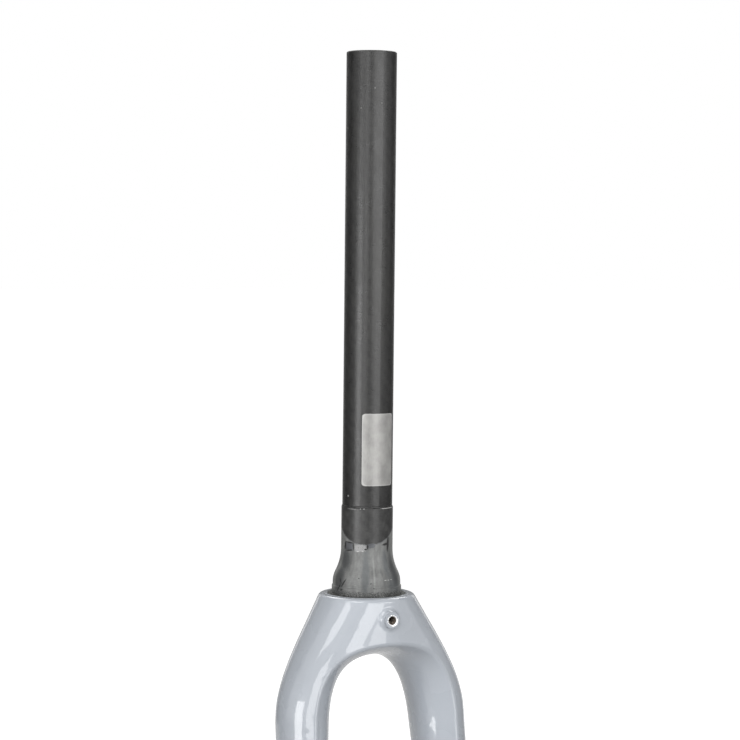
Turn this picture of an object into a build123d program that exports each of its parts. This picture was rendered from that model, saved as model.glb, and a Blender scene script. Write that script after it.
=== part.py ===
from build123d import *
import math
import os

# Rigid fork of a road or gravel bicycle: a carbon steerer tube bonded into a one-piece carbon crown
# and leg moulding, with alloy axle ends and threaded inserts. All sizes in millimetres.
# Origin: on the steerer axis, in the shoulder that the lower bearing race is pressed down to.
# +Z runs up the steerer, +X points forward, +Y to the rider's left.

# Steerer tube
STEERER_DIAMETER = 28.6
STEERER_TOP = 308.0
STEERER_WALL = 2.8
STEERER_LOWER_WALL = 4.2
STEERER_THICKENING_LENGTH = 18.0
STEERER_THICKENING_CLEARANCE = 6.0
STEERER_TOP_CHAMFER = 0.5
SPIGOT_STEP = 0.2
SPIGOT_DEPTH = 9.0
BOND_GAP = 0.1

# Raw neck of the moulding, from the lip around the steerer down to the race seat
LIP_TOP = 50.0
LIP_WALL = 0.45
LIP_CHAMFER = 0.3
FLARE_TOP = 26.0
FLARE_BOTTOM = 6.5
FLARE_TURN = 0.33
RACE_SEAT_DIAMETER = 39.8
RACE_SEAT_HEIGHT = 4.5
RACE_LEAD_IN = 0.5
NECK_ROOT_DEPTH = 5.0
NECK_ROOT_RIM = 0.4

# Blades: the straight line from just behind the steerer axis, level with the race shoulder, to the axle
AXLE_TO_CROWN = 395.0
RAKE = 48.0
BLADE_SETBACK = 2.1
HUB_WIDTH = 100.0

# Outside of the crown and legs: the outlines that its skin is drawn over
CROWN_TOP_RADIUS = 27.0
CROWN_RIM_RADIUS = 2.8
CROWN_LENGTH = 70.5
SHOULDER_HALF_WIDTH = 40.3
SHOULDER_HALF_DEPTH = 29.3
SHOULDER_SQUARENESS = 0.58
LEG_TOP_HALF_DEPTH = 27.5
LEG_TOP_SQUARENESS = 0.683
LEG_END_HALF_DEPTH = 18.0
LEG_END_THICKNESS = 12.5
LEG_END_SQUARENESS = 0.80
LEG_END_RELIEF = 0.4
LEG_OUTER_SPREAD = 4.9
ROUND_SQUARENESS = 0.5523

# Wheel arch between the legs; its mouths open out towards the front and the back
ARCH_TOP = 35.4
ARCH_SPRING_DROP = 3.0
ARCH_ROUNDNESS = 0.665
LEG_INNER_SPREAD = 21.2
MOUTH_HALF_DEPTH = 31.2
MOUTH_HALF_DEPTH_END = 22.1
FRONT_MOUTH_RISE = 7.6
BACK_MOUTH_RISE = 13.7
MOUTH_SOFTNESS = 0.17
FRONT_MOUTH_SPREAD = 44.9
BACK_MOUTH_SPREAD = 18.1
MOUTH_SPREAD_END = 22.0
RIDGE_RADIUS = 2.5

# Threaded insert on the front of the crown
CROWN_INSERT_DROP = 11.6
CROWN_INSERT_REACH = 31.5
CROWN_INSERT_LENGTH = 12.0
CROWN_INSERT_DIAMETER = 7.0
CROWN_INSERT_FLANGE = 9.0
CROWN_INSERT_FLANGE_THICKNESS = 0.8
CROWN_MOUND_TOP = 9.6
CROWN_MOUND_BASE = 15.0
CROWN_MOUND_HEIGHT = 6.0
CROWN_MOUND_FILLET = 2.5
SMALL_THREAD = 5.0

# Alloy axle ends, bonded into the legs
AXLE_DIAMETER = 12.0
AXLE_PLAY = 0.05
AXLE_END_RADIUS = 14.5
AXLE_END_JOINT = 26.0
AXLE_END_OVERHANG = 0.8
AXLE_END_CHAMFER = 0.8
TANG_LENGTH = 20.0
TANG_DEPTH = 15.0
TANG_THICKNESS = 6.0

# Flat brake mount on the back of the left leg
BRAKE_HOLE_SPACING = 70.0
BRAKE_LOWER_HOLE = 50.0
BRAKE_PAD_MARGIN = 9.0
BRAKE_PAD_WIDTH = 15.0
BRAKE_PAD_BACK = 18.5
BRAKE_PAD_ROOT = 10.0
BRAKE_INSERT_DIAMETER = 8.0
BRAKE_INSERT_LENGTH = 10.0

# Blank label on the front of the steerer
LABEL_WIDTH = 20.8
LABEL_HEIGHT = 41.0
LABEL_BOTTOM = 62.6
LABEL_CORNER = 1.6
LABEL_THICKNESS = 0.07
LABEL_GAP = 0.01

# Sizes that follow from the ones above
steerer_radius = STEERER_DIAMETER / 2
bore_radius = steerer_radius - STEERER_WALL
lower_bore_radius = steerer_radius - STEERER_LOWER_WALL
spigot_radius = steerer_radius - SPIGOT_STEP
socket_radius = spigot_radius + BOND_GAP
lip_radius = steerer_radius + LIP_WALL
seat_radius = RACE_SEAT_DIAMETER / 2
flare_radius = seat_radius - RACE_LEAD_IN
root_radius = seat_radius + NECK_ROOT_RIM
thickening_top = LIP_TOP + STEERER_THICKENING_CLEARANCE + STEERER_THICKENING_LENGTH
rake_angle = math.atan2(RAKE + BLADE_SETBACK, AXLE_TO_CROWN)
blade_length = math.hypot(RAKE + BLADE_SETBACK, AXLE_TO_CROWN)
leg_length = blade_length - AXLE_END_JOINT
hub_half = HUB_WIDTH / 2
leg_end_inside = hub_half + LEG_END_RELIEF
leg_end_outside = leg_end_inside + LEG_END_THICKNESS
leg_top_outside = leg_end_outside - LEG_OUTER_SPREAD
leg_top_inside = leg_end_inside - LEG_INNER_SPREAD
arch_spring = CROWN_LENGTH + ARCH_SPRING_DROP
down = Vector(math.sin(rake_angle), 0, -math.cos(rake_angle))
forward = Vector(math.cos(rake_angle), 0, math.sin(rake_angle))
left = Vector(0, 1, 0)
blade_start = Vector(-BLADE_SETBACK, 0, 0)
axle = Vector(RAKE, 0, -AXLE_TO_CROWN)


def blade_point(along, ahead, aside):
    """A point at a length down the blade line, ahead of it and to the left of it."""
    return blade_start + down * along + forward * ahead + left * aside


def blend(start, end, share):
    return start + (end - start) * share


def quarter(place, half_depth, half_width, squareness):
    """Control points of a quarter of an oval, from its front or back to its side."""
    shares = ((1, 0), (1, squareness), (squareness, 1), (0, 1))
    return [place(half_depth * ahead, half_width * aside) for ahead, aside in shares]


def blade_quarter(along, half_depth, half_width, squareness):
    return quarter(lambda *offset: blade_point(along, *offset), half_depth, half_width, squareness)


def leg_row(along, facing, side):
    """Control points of the outside of the legs at a length down the blade, in one of its quarters."""
    top_sizes = (facing * LEG_TOP_HALF_DEPTH, side * leg_top_outside, LEG_TOP_SQUARENESS)
    end_sizes = (facing * LEG_END_HALF_DEPTH, side * leg_end_outside, LEG_END_SQUARENESS)
    share = (along - CROWN_LENGTH) / (leg_length - CROWN_LENGTH)
    rows = zip(blade_quarter(CROWN_LENGTH, *top_sizes), blade_quarter(leg_length, *end_sizes))
    return [blend(top, end, share) for top, end in rows]


def make_outside():
    """One smooth skin from the round crown top to the leg ends, with its rim rounded."""
    skin, rim, foot = [], [], []
    for facing, side in ((1, 1), (1, -1), (-1, -1), (-1, 1)):
        top = quarter(Vector, facing * CROWN_TOP_RADIUS, side * CROWN_TOP_RADIUS, ROUND_SQUARENESS)
        shoulder_sizes = (facing * SHOULDER_HALF_DEPTH, side * SHOULDER_HALF_WIDTH, SHOULDER_SQUARENESS)
        shoulder = blade_quarter(CROWN_LENGTH / 3, *shoulder_sizes)
        over_leg, leg_top, leg_end = (
            leg_row(along, facing, side) for along in (CROWN_LENGTH * 2 / 3, CROWN_LENGTH, leg_length)
        )
        skin.append(Face.make_bezier_surface([top, shoulder, over_leg, leg_top]))
        skin.append(Face.make_bezier_surface([leg_top, leg_end]))
        rim.append(Edge.make_bezier(*top))
        foot.append(Edge.make_bezier(*leg_end))
    crown_top = Face(Wire(rim))
    outside = Solid(Shell([*skin, crown_top, Face(Wire(foot))]))
    return outside.fillet(CROWN_RIM_RADIUS, outside.faces().sort_by(Axis.Z)[-1].edges())


def arch_column(facing, side, station, spread):
    """Control points of half the wheel space in one plane across the fork: its roof, then its wall.

    The station is 0 in the middle of the arch and 1 at its mouth, well outside the crown.
    """
    front, back = (FRONT_MOUTH_RISE, FRONT_MOUTH_SPREAD), (BACK_MOUTH_RISE, BACK_MOUTH_SPREAD)
    mouth_rise, mouth_spread = front if facing > 0 else back
    top = ARCH_TOP - mouth_rise * spread
    top_width = leg_top_inside + mouth_spread * spread
    end_width = leg_end_inside + MOUTH_SPREAD_END * spread
    slope = (end_width - top_width) / (leg_length - arch_spring)

    def place(along, aside):
        share = (along - arch_spring) / (leg_length - arch_spring)
        half_depth = blend(MOUTH_HALF_DEPTH, MOUTH_HALF_DEPTH_END, share)
        return blade_point(along, facing * station * half_depth, side * aside)

    rise = (arch_spring - top) * ARCH_ROUNDNESS
    below = leg_length + AXLE_END_RADIUS
    spring = place(arch_spring, top_width)
    roof = [
        place(top, 0),
        place(top, top_width * ARCH_ROUNDNESS),
        place(arch_spring - rise, top_width - slope * rise),
        spring,
    ]
    return roof, [spring, place(below, end_width + slope * (below - leg_length))]


def make_arch():
    """The space for the wheel, which opens out smoothly to both mouths."""
    skin, foot = [], []
    for facing in (1, -1):
        mouth = []
        for side in (1, -1):
            spreads = (0, 0, MOUTH_SOFTNESS, 1)
            columns = [arch_column(facing, side, step / 3, spread) for step, spread in enumerate(spreads)]
            roofs, walls = zip(*columns)
            skin.append(Face.make_bezier_surface(list(roofs)))
            skin.append(Face.make_bezier_surface(list(walls)))
            mouth += [Edge.make_bezier(*roofs[-1]), Edge.make_line(*walls[-1])]
            foot.append(Edge.make_bezier(*(wall[-1] for wall in walls)))
        mouth.append(Edge.make_line(mouth[1] @ 1, mouth[3] @ 1))
        foot.append(mouth[-1])
        skin.append(Face(Wire(mouth)))
    return Solid(Shell([*skin, Face(Wire(foot))]))


def in_blade(point):
    """How far down the blade line a point lies, and how far ahead of it."""
    offset = Vector(point) - blade_start
    return offset.dot(down), offset.dot(forward)


def make_crown_and_legs():
    """The outer skin with the wheel arch cut from it and the ridge round each mouth softened."""
    outside = make_outside()
    arch = make_arch()
    crown_and_legs = (outside - arch).solid()
    ridges = []
    for edge in new_edges(outside, arch, combined=crown_and_legs):
        along, ahead = in_blade(edge.center())
        if along < leg_length - RIDGE_RADIUS and abs(ahead) > RIDGE_RADIUS:
            ridges.append(edge)
    return crown_and_legs.fillet(RIDGE_RADIUS, ridges)


def turned(corners):
    """A solid of revolution about the steerer axis, from the radius and height of each corner."""
    outline = Polyline(*((radius, 0, height) for radius, height in corners), close=True)
    return revolve(make_face(outline), Axis.Z)


def make_neck():
    """The raw neck let into the crown: race seat, flare, collar and the thin lip round the steerer."""
    upward = Vector(0, 0, 1)
    flare_foot = Vector(flare_radius, 0, FLARE_BOTTOM)
    flare_head = Vector(lip_radius, 0, FLARE_TOP)
    flare_turn = blend(flare_foot, flare_head, FLARE_TURN)
    straight = Polyline(
        flare_head,
        (lip_radius, 0, LIP_TOP - LIP_CHAMFER),
        (lip_radius - LIP_CHAMFER, 0, LIP_TOP),
        (socket_radius, 0, LIP_TOP),
        (socket_radius, 0, -NECK_ROOT_DEPTH),
        (root_radius, 0, -NECK_ROOT_DEPTH),
        (root_radius, 0, 0),
        (seat_radius, 0, 0),
        (seat_radius, 0, RACE_SEAT_HEIGHT),
        (flare_radius, 0, RACE_SEAT_HEIGHT + RACE_LEAD_IN),
        flare_foot,
    )
    bulge = Edge.make_tangent_arc(flare_foot, upward, flare_turn)
    hollow = Edge.make_tangent_arc(flare_head, -upward, flare_turn)
    return revolve(make_face([*straight.edges(), bulge, hollow]), Axis.Z).solid()


def make_steerer():
    """The tube: a spigot in the neck, a straight outside, and a bore that narrows towards the crown."""
    shoulder = LIP_TOP + BOND_GAP
    thickening_bottom = thickening_top - STEERER_THICKENING_LENGTH
    return turned([
        (lower_bore_radius, -SPIGOT_DEPTH),
        (spigot_radius, -SPIGOT_DEPTH),
        (spigot_radius, shoulder),
        (steerer_radius, shoulder),
        (steerer_radius, STEERER_TOP - STEERER_TOP_CHAMFER),
        (steerer_radius - STEERER_TOP_CHAMFER, STEERER_TOP),
        (bore_radius + STEERER_TOP_CHAMFER, STEERER_TOP),
        (bore_radius, STEERER_TOP - STEERER_TOP_CHAMFER),
        (bore_radius, thickening_top),
        (lower_bore_radius, thickening_bottom),
    ])


def make_label():
    """A thin film on the front of the steerer, with rounded corners."""
    inside = steerer_radius + LABEL_GAP
    film = Cylinder(inside + LABEL_THICKNESS, STEERER_TOP, align=(Align.CENTER, Align.CENTER, Align.MIN))
    film -= Cylinder(inside, STEERER_TOP, align=(Align.CENTER, Align.CENTER, Align.MIN))
    chord = 2 * inside * math.sin(LABEL_WIDTH / 2 / inside)
    front = Plane((0, 0, LABEL_BOTTOM + LABEL_HEIGHT / 2), x_dir=(0, 1, 0), z_dir=(1, 0, 0))
    window = extrude(front * RectangleRounded(chord, LABEL_HEIGHT, LABEL_CORNER), 2 * inside)
    return (film & window).solid()


def threaded_sleeve(plane, diameter, length, flange=0, flange_thickness=0):
    """An insert whose mouth lies in the plane and whose body runs back from it, with a clear bore."""
    sleeve = Solid.make_cylinder(diameter / 2, length, plane.offset(-length))
    if flange:
        sleeve += Solid.make_cylinder(flange / 2, flange_thickness, plane.offset(-flange_thickness))
    return (sleeve - Solid.make_cylinder(SMALL_THREAD / 2, length, plane.offset(-length))).solid()


def brake_insert(along):
    return threaded_sleeve(brake_plane(along), BRAKE_INSERT_DIAMETER, BRAKE_INSERT_LENGTH)


def make_axle_end(end_face, side, hole_radius):
    """An alloy end: the leg's own section carried on to the axle eye, and a tang up into the leg."""
    outside = leg_end_outside + AXLE_END_OVERHANG
    eye_plane = Plane(axle + left * (side * hub_half), x_dir=(1, 0, 0), z_dir=left * side)
    eye = Solid.make_cylinder(AXLE_END_RADIUS, outside - hub_half, eye_plane)
    eye = eye.chamfer(AXLE_END_CHAMFER, None, eye.edges().filter_by(GeomType.CIRCLE))
    end = eye + extrude(end_face, AXLE_END_JOINT, dir=down) + tang(side, 0)
    return (end - Solid.make_cylinder(hole_radius, outside, eye_plane.offset(-hub_half / 2))).solid()


def tang(side, margin):
    """The block that is bonded into a leg end, or its pocket with a margin all round."""
    middle = side * (leg_end_inside + leg_end_outside) / 2
    plane = Plane(blade_point(leg_length, 0, middle), x_dir=forward, z_dir=-down)
    length = TANG_LENGTH + margin
    return plane * Box(
        TANG_DEPTH + 2 * margin,
        TANG_THICKNESS + 2 * margin,
        length,
        align=(Align.CENTER, Align.CENTER, Align.MIN),
    )


crown_plane = Plane((CROWN_INSERT_REACH, 0, -CROWN_INSERT_DROP), x_dir=(0, 1, 0), z_dir=(1, 0, 0))
brake_lower = blade_length - BRAKE_LOWER_HOLE
brake_upper = brake_lower - BRAKE_HOLE_SPACING
brake_middle = (brake_lower + brake_upper) / 2


def leg_middle(along):
    """How far aside the middle of a leg lies at a length down the blade."""
    outside = blend(leg_top_outside, leg_end_outside, (along - CROWN_LENGTH) / (leg_length - CROWN_LENGTH))
    inside = blend(leg_top_inside, leg_end_inside, (along - arch_spring) / (leg_length - arch_spring))
    return (outside + inside) / 2


def brake_plane(along):
    """The face of the brake pad, seen from behind, at a length down the blade."""
    face_centre = blade_point(along, -BRAKE_PAD_BACK, leg_middle(brake_middle))
    return Plane(face_centre, x_dir=down, z_dir=-forward)


def with_mound(crown):
    """The crown with the low cone on it that carries the insert, blended in at its foot."""
    foot = crown_plane.offset(-CROWN_INSERT_FLANGE_THICKNESS - CROWN_MOUND_HEIGHT)
    mound = Solid.make_cone(CROWN_MOUND_BASE / 2, CROWN_MOUND_TOP / 2, CROWN_MOUND_HEIGHT, foot)
    joined = (crown + mound).solid()
    return joined.fillet(CROWN_MOUND_FILLET, new_edges(crown, mound, combined=joined))


def make_brake_pad():
    """The flat pad that carries both brake inserts."""
    slot = SlotOverall(BRAKE_HOLE_SPACING + 2 * BRAKE_PAD_MARGIN, BRAKE_PAD_WIDTH)
    return extrude(brake_plane(brake_middle).offset(-BRAKE_PAD_ROOT) * slot, BRAKE_PAD_ROOT)


def drilled(plane, diameter, depth):
    """A hole that runs back from a plane, with the bond gap round and behind what goes in it."""
    behind = plane.offset(-depth - BOND_GAP)
    return Solid.make_cylinder(diameter / 2 + BOND_GAP, depth + 2 * BOND_GAP, behind)


crown_and_legs = make_crown_and_legs()
leg_ends = crown_and_legs.faces().filter_by(GeomType.PLANE).sort_by(Axis.Z)[:2].sort_by(Axis.Y)
right_end_face, left_end_face = leg_ends

moulding = with_mound(crown_and_legs) + make_brake_pad()
socket_depth = SPIGOT_DEPTH + BOND_GAP
moulding -= Solid.make_cylinder(socket_radius, socket_depth, Plane((0, 0, -socket_depth)))
moulding -= Solid.make_cylinder(root_radius + BOND_GAP, NECK_ROOT_DEPTH, Plane((0, 0, -NECK_ROOT_DEPTH)))
moulding -= drilled(crown_plane, CROWN_INSERT_DIAMETER, CROWN_INSERT_LENGTH)
for along in (brake_upper, brake_lower):
    moulding -= drilled(brake_plane(along), BRAKE_INSERT_DIAMETER, BRAKE_INSERT_LENGTH)
for side in (-1, 1):
    moulding -= tang(side, BOND_GAP)

nodes = {
    "steerer_tube": make_steerer(),
    "fork_neck": make_neck(),
    "fork_moulding": moulding.solid(),
    "crown_insert": threaded_sleeve(
        crown_plane,
        CROWN_INSERT_DIAMETER,
        CROWN_INSERT_LENGTH,
        CROWN_INSERT_FLANGE,
        CROWN_INSERT_FLANGE_THICKNESS,
    ),
    "brake_insert_upper": brake_insert(brake_upper),
    "brake_insert_lower": brake_insert(brake_lower),
    "left_axle_end": make_axle_end(left_end_face, 1, AXLE_DIAMETER / 2 + AXLE_PLAY),
    "right_axle_end": make_axle_end(right_end_face, -1, AXLE_DIAMETER / 2),
    "steerer_label": make_label(),
}

os.makedirs("parts", exist_ok=True)
for name, solid in nodes.items():
    export_step(solid, f"parts/{name}.step")
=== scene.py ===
import math

import bmesh
import bpy
from mathutils import Matrix, Vector, noise


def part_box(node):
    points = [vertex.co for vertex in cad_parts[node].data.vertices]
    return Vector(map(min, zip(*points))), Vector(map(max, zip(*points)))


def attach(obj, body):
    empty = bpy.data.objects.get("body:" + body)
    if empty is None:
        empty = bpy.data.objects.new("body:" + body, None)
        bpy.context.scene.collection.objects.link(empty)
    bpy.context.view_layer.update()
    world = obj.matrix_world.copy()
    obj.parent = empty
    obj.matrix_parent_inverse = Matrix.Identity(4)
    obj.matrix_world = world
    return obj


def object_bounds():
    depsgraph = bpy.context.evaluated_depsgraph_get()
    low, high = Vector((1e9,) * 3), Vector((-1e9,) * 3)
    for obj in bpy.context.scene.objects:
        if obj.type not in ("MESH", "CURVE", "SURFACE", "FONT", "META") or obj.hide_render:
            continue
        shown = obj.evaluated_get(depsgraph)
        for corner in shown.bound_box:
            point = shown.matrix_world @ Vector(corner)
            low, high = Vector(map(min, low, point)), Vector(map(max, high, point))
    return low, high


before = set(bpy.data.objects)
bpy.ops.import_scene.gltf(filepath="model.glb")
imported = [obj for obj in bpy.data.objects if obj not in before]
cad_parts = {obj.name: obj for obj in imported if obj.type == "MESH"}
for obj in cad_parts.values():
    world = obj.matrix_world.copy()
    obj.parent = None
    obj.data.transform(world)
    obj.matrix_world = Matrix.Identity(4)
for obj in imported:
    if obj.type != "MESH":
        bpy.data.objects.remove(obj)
cad_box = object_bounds()

bl_info = {
    "name": "Rigid bicycle fork",
    "version": (1, 0, 0),
    "blender": (4, 5, 0),
    "location": "3D View > Sidebar > Fork",
    "description": "Dresses a rigid fork in raw carbon, paint and metal, and sets up its stage",
    "category": "Object",
}

_, STEERER_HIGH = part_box("steerer_tube")
_, NECK_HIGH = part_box("fork_neck")
INSERT_LOW, INSERT_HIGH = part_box("crown_insert")
RIGHT_END_LOW, RIGHT_END_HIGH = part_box("right_axle_end")
LABEL_LOW, LABEL_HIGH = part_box("steerer_label")

# Places and sizes of pieces are in metres; patterns on surfaces are in millimetres
STEERER_RADIUS_MM = STEERER_HIGH.x * 1000
STEERER_TOP_MM = STEERER_HIGH.z * 1000
INSERT_MIDDLE = (INSERT_LOW + INSERT_HIGH) / 2
INSERT_MOUTH = Vector((INSERT_HIGH.x, INSERT_MIDDLE.y, INSERT_MIDDLE.z))
AXLE_END_RADIUS = 0.0145
AXLE = Vector((RIGHT_END_LOW.x + AXLE_END_RADIUS, 0, RIGHT_END_LOW.z + AXLE_END_RADIUS))

# The brake inserts are bored forward, square to the leg
BRAKE_INSERTS = ("brake_insert_upper", "brake_insert_lower")
BRAKE_INSERT_LENGTH = 0.010
FORWARD = Vector((0.992052, 0, 0.125827))

INSERT_THREAD_RADIUS = 0.0025
INSERT_THREAD_RIDGE = 0.0004
AXLE_THREAD_RADIUS = 0.006
AXLE_THREAD_RIDGE = 0.0008

# A thread's ridge: its sink into the wall, steps to a turn, and shares of the pitch for the plain
# stretch at each end and for half its width at the root and at the crest
THREAD_OVERLAP = 0.00006
THREAD_STEPS = 28
THREAD_PLAIN_END = 0.7
THREAD_HALF_ROOT = 0.40
THREAD_HALF_CREST = 0.07

# Ripple of the resin bead and of the paint's edge: height and grains to the metre; then how far
# it reaches into the paint, and the steps of each ring
BEAD_RIPPLE = ((0.0007, 220), (0.0004, 900))
EDGE_RIPPLE = ((0.0009, 130), (0.0004, 520))
EDGE_REACH = 0.0014
BEAD_STEPS = 200
EDGE_STEPS = 240

# Height in metres that stands for the full relief of a finish
TUBE_BUMP = 0.00007
NECK_BUMP = 0.00004
PAINT_BUMP = 0.000012
METAL_BUMP = 0.00001
RESIN_BUMP = 0.00003
LABEL_BUMP = 0.00006

# Half the label's thickness with the gap under it, and the width of its plain border in millimetres
LABEL_STANDS_OFF = 0.00004
LABEL_BORDER = 0.45

# Limits of a colour with alpha
RGBA = {"size": 4, "min": 0, "max": 1}

WHITE = (1, 1, 1, 1)
OLIVE_RESIN = (0.014, 0.0132, 0.0102, 1)
PALE_DUST = (0.32, 0.32, 0.31, 1)
PLY_DARK = (0.02, 0.02, 0.02, 1)
PLY_LIGHT = (0.12, 0.12, 0.115, 1)
COLLAR_DARK = (0.013, 0.013, 0.0128, 1)
COLLAR_LIGHT = (0.042, 0.042, 0.041, 1)
COLLAR_SPECKLE = (0.11, 0.11, 0.107, 1)
PLY_EDGE_AND_SHADE_TONE = (0.062, 0.07, 0.076, 1)
PALE_SEAM = (0.27, 0.275, 0.265, 1)
RUBBED_DARK = (0.06, 0.062, 0.06, 1)
CRUST_DARK = (0.012, 0.0125, 0.012, 1)
CRUST_LIGHT = (0.24, 0.245, 0.235, 1)
PALE_RIM = (0.22, 0.225, 0.23, 1)
BLUISH_RESIN = (0.082, 0.086, 0.094, 1)
SILVER_FILLER = (0.29, 0.29, 0.29, 1)
SILVER_PIT = (0.07, 0.07, 0.07, 1)
STREAK_AND_SHADE_TONE = (0.03, 0.032, 0.034, 1)
BLACK_MARK = (0.008, 0.008, 0.008, 1)
WHITE_MARK = (0.5, 0.5, 0.49, 1)
DARK_GRIT = (0.02, 0.02, 0.02, 1)
PAINT_DUST = (0.2, 0.21, 0.23, 1)
PAINTED_RECESS_SHADE = (0.012, 0.012, 0.011, 1)
BRIGHT_CHIP = (0.86, 0.86, 0.86, 1)
HOLE_SHADE_AND_GRIME = (0.018, 0.013, 0.009, 1)
BORE_SHADE = (0.05, 0.048, 0.045, 1)
LABEL_EDGE = (0.41, 0.405, 0.395, 1)
GREASE_DARK = (0.10, 0.075, 0.055)
GREASE_LIGHT = (0.52, 0.45, 0.38)

# Small light dust and resin marks on the tube: millimetres round from the front, height and radius
TUBE_SPECKS = (
    (-23.4, 264.7, 0.35),
    (-5.0, 286.8, 0.30),
    (-12.9, 275.6, 0.28),
    (-0.8, 278.5, 0.28),
    (-19.3, 56.5, 0.60),
)

# Lower hem of the dark collar: the middle of its dip, the height there, its curve and its full rise
HEM_MIDDLE = -7.0
HEM_HEIGHT = 28.4
HEM_CURVE = 0.024
HEM_RISE = 8.5

# Marks on the neck: millimetres round from the front and up, half width and half height,
# turn in degrees, corner from 2 for an oval upwards to a square, and softness
# Dark bluish bands down the flare: partly ply edges, partly painted shade from the lights
PLY_EDGE_AND_SHADE_MARKS = (
    (-7.4, 14.0, 1.7, 15.0, 0, 2.0, 0.6),
    (3.6, 18.0, 1.9, 8.0, 0, 2.0, 0.6),
    (6.5, 6.0, 3.4, 5.0, 0, 2.0, 0.6),
)
SEAM_MARKS = ((-3.5, 13.0, 0.4, 13.0, 0, 2.0, 0.5),)
BLUISH_MARKS = (
    (-18.2, 27.9, 3.6, 2.4, -6, 4.0, 0.12),
    (-4.7, 28.6, 2.4, 1.3, 10, 2.5, 0.2),
)
SILVER_MARKS = ((-10.9, 27.2, 3.7, 2.0, 4, 3.0, 0.25),)
# Dark streaks down the flare's sides: partly real streaks, partly painted shade where the flare
# turns away from the lights
SIDE_STREAK_AND_SHADE_MARKS = (
    (-19.6, 20.0, 3.4, 6.5, 8, 2.0, 0.5),
    (-20.8, 9.0, 3.0, 8.0, 0, 2.0, 0.5),
    (8.0, 14.0, 2.6, 8.0, 0, 2.0, 0.6),
)
BLACK_MARKS = (
    (-17.2, 30.1, 3.0, 0.42, -4, 2.0, 0.4),
    (-14.7, 28.0, 0.5, 2.3, 6, 2.0, 0.4),
    (-20.8, 28.2, 0.6, 2.4, 0, 2.0, 0.4),
    (-17.6, 25.6, 2.4, 0.4, 8, 2.0, 0.4),
    (-6.6, 27.9, 0.5, 1.3, 0, 2.0, 0.4),
    (6.4, 29.2, 0.95, 4.2, -3, 2.0, 0.4),
    (4.8, 29.3, 2.6, 0.7, 8, 2.0, 0.4),
    (-7.6, 26.6, 0.7, 0.5, 0, 2.0, 0.3),
    (-17.6, 7.2, 0.4, 2.6, -28, 2.0, 0.4),
    (-19.4, 8.4, 0.35, 1.8, 24, 2.0, 0.4),
    (-20.2, 4.4, 0.4, 2.6, -22, 2.0, 0.4),
    (-18.4, 3.4, 0.8, 0.5, 30, 2.0, 0.4),
    (-10.3, 10.6, 0.3, 0.3, 0, 2.0, 0.4),
    (-5.1, 7.7, 0.4, 0.2, 20, 2.0, 0.4),
    (-3.8, 5.1, 0.3, 0.2, 0, 2.0, 0.4),
    (5.9, 50.0, 1.4, 0.2, 4, 2.0, 0.4),
)
WHITE_MARKS = (
    (6.0, 49.7, 4.8, 0.22, 0.5, 4.0, 0.3),
    (-10.8, 49.6, 0.35, 0.25, 0, 2.0, 0.3),
    (-8.8, 49.6, 0.3, 0.22, 0, 2.0, 0.3),
    (-15.9, 49.2, 3.0, 0.07, -3, 4.0, 0.4),
    (1.6, 9.3, 0.5, 0.18, 0, 2.0, 0.4),
    (3.2, 9.3, 0.5, 0.16, 0, 2.0, 0.4),
    (4.7, 9.4, 0.4, 0.16, 0, 2.0, 0.4),
    (-12.0, 25.4, 0.7, 0.25, 10, 2.0, 0.4),
    (-9.3, 25.5, 0.5, 0.25, -10, 2.0, 0.4),
)

# Bare faces of the axle ends in millimetres: where the paint ends and where the metal starts
HUB_FACE_ASIDE = (50.25, 50.1)
HUB_FACE_RADIUS = (13.75, 13.65)
OUTER_FACE_ASIDE = (63.55, 63.65)
OUTER_FACE_RADIUS = (9.6, 9.5)
AXLE_BORE_RADIUS = (6.2, 6.1)

# Where painted shade starts in the brake inserts' bore, and the side on which the crown insert is
# worn most
BRAKE_BORE_RADIUS = (2.62, 2.5)
INSERT_WORN_SIDE = (0, 0.77, -0.64)

# The floor's own light: its share in the gloss, and its level near the fork and far from it
FLOOR_HALF_WIDTH = 30
FLOOR_IN_GLOSS = 0.4
FLOOR_NEAR, FLOOR_FAR = 0.6, 1.7
FLOOR_NEAR_LEVEL, FLOOR_FAR_LEVEL = 0.72, 0.97

# Soft boxes: name, azimuth and elevation in degrees, distance, width and height in metres,
# radiance, and whether the gloss shows them
LAMPS = (
    ("upper_left_box", -57, 47, 1.2, 0.66, 0.55, 4.0, True),
    ("lower_left_box", -44.5, 11, 1.2, 0.27, 0.65, 4.0, True),
    ("left_strip", -73, 0, 1.2, 0.50, 0.55, 6.4, True),
    ("right_box", 10, 18.75, 0.9, 0.907, 0.36, 4.0, True),
    ("right_low_box", 10, -3, 0.9, 0.40, 0.26, 3.0, True),
    ("right_fill", 86, 8, 1.2, 0.6, 0.6, 2.6, False),
    ("back_box", 152, 38, 1.8, 1.8, 1.3, 3.0, True),
    ("back_left_strip", 131, 2, 1.2, 0.26, 0.7, 0.45, True),
    ("back_right_strip", 173, 2, 1.2, 0.26, 0.7, 0.45, True),
)

# Dark cards: name, azimuth in degrees, distance, width and height in metres
CARDS = (
    ("left_card", -148, 1.5, 1.6, 2.2),
    ("right_card", 99, 1.5, 1.25, 2.2),
    ("back_card", 152, 1.5, 1.5, 1.3),
)
CARD_RISE = 0.2

# Camera: degrees right of the fork's front, down and over, then metres away, aside and up
CAMERA_TURN, CAMERA_PITCH, CAMERA_ROLL = 28, 2.971, 0.584
CAMERA_AWAY, CAMERA_ASIDE, CAMERA_UP = 1.3106, 0.0008, 0.1957


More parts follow.
